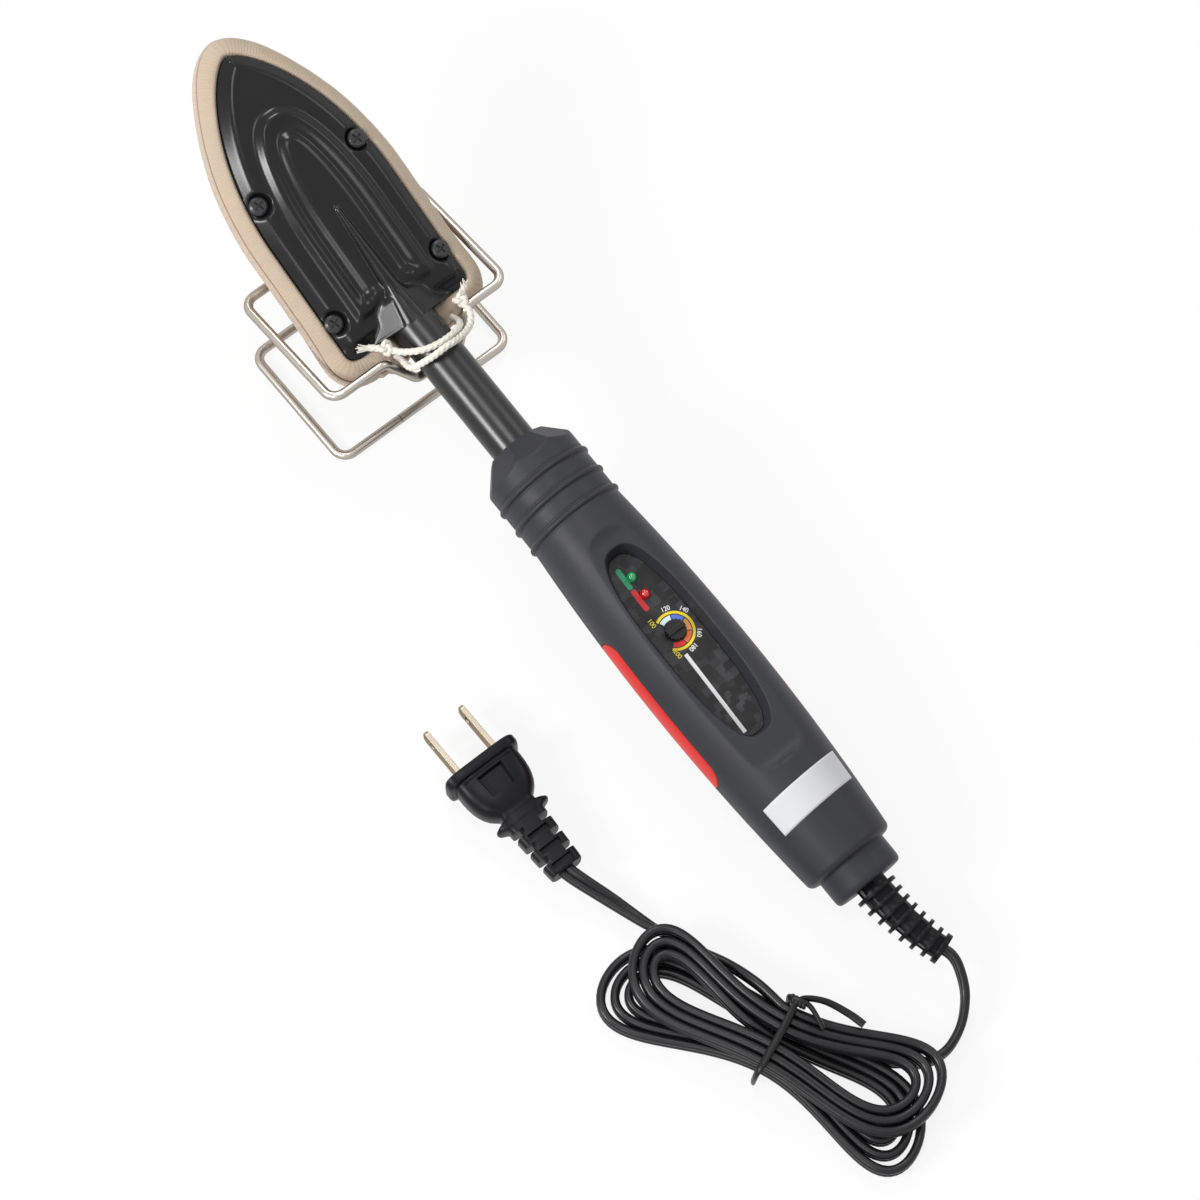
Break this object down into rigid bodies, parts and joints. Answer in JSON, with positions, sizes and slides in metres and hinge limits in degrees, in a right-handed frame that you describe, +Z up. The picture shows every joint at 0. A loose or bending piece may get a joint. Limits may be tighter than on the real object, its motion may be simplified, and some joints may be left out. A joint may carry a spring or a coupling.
{
  "type": "sealing iron with wire stand",
  "caption": "Electric sealing iron with pointed shoe in a cloth sock, ringed handle with dial and lamps, wire rest stand and flat cord tied in a hank with a two-blade plug.",
  "frame": {"origin": "on the table, under the middle of the iron and stand's box without the cord", "axes": "+Z up, +Y along the iron from cord outlet to tip, +X to the right of someone holding it"},
  "size_m": [0.1094, 0.3641, 0.0799],
  "materials": {
    "wire_nickel": "satin nickel wire",
    "cord_black": "satin",
    "tie_black": "satin",
    "plug_black": "moulded satin",
    "blade_nickel": "nickel plate",
    "handle_charcoal": "fine grain",
    "insert_red": "satin",
    "panel_dark": "printed foil",
    "lamp_green": "clear gloss",
    "lamp_red": "clear gloss",
    "board_green": "solder mask",
    "part_dark": "moulded",
    "screw_steel": "zinc",
    "tube_black": "satin black",
    "cover_black": "satin black",
    "screw_black": "blackened",
    "sole_alu": "cast",
    "mica": "sheet",
    "lead_insulation": "sleeve",
    "sock_cloth": "fine rib knit",
    "string_white": "twisted cotton",
    "knob_black": "satin"
  },
  "bodies": {
    "stand": {"wire_stand": "wire_nickel", "cord_hank": "cord_black", "cord_tail": "cord_black", "hank_tie": "tie_black", "plug_body": "plug_black", "plug_blades": "blade_nickel"},
    "iron": {"handle_upper": "handle_charcoal", "handle_lower": "handle_charcoal", "side_inserts": "insert_red", "control_panel": "panel_dark", "lamp_green": "lamp_green", "lamp_red": "lamp_red", "circuit_board": "board_green", "potentiometer": "part_dark", "triac": "part_dark", "handle_screws": "screw_steel", "shaft_collar": "screw_steel", "shaft_tube": "tube_black", "top_cover": "cover_black", "cover_screws": "screw_black", "sole_plate": "sole_alu", "heating_element": "screw_steel", "insulation_sheets": "mica", "heater_clamp": "screw_steel", "heat_sensor": "part_dark", "heater_leads": "lead_insulation", "mains_leads": "lead_insulation", "cord_clamp": "part_dark", "strain_relief": "plug_black", "cord_lead": "cord_black", "shoe_sock": "sock_cloth", "sock_drawstring": "string_white"},
    "dial": {"dial_knob": "knob_black", "dial_spindle": "screw_steel"}
  },
  "joints": [
    {"name": "iron_lift", "type": "slide", "parent": "stand", "child": "iron", "axis": [0, 0, 1], "range_m": [0, 0.03]},
    {"name": "dial_turn", "type": "hinge", "parent": "iron", "child": "dial", "pos_m": [0.00225, -0.04938, 0.03398], "axis": [0, -0.1392, 0.9903], "range_deg": [-88, 166]}
  ]
}
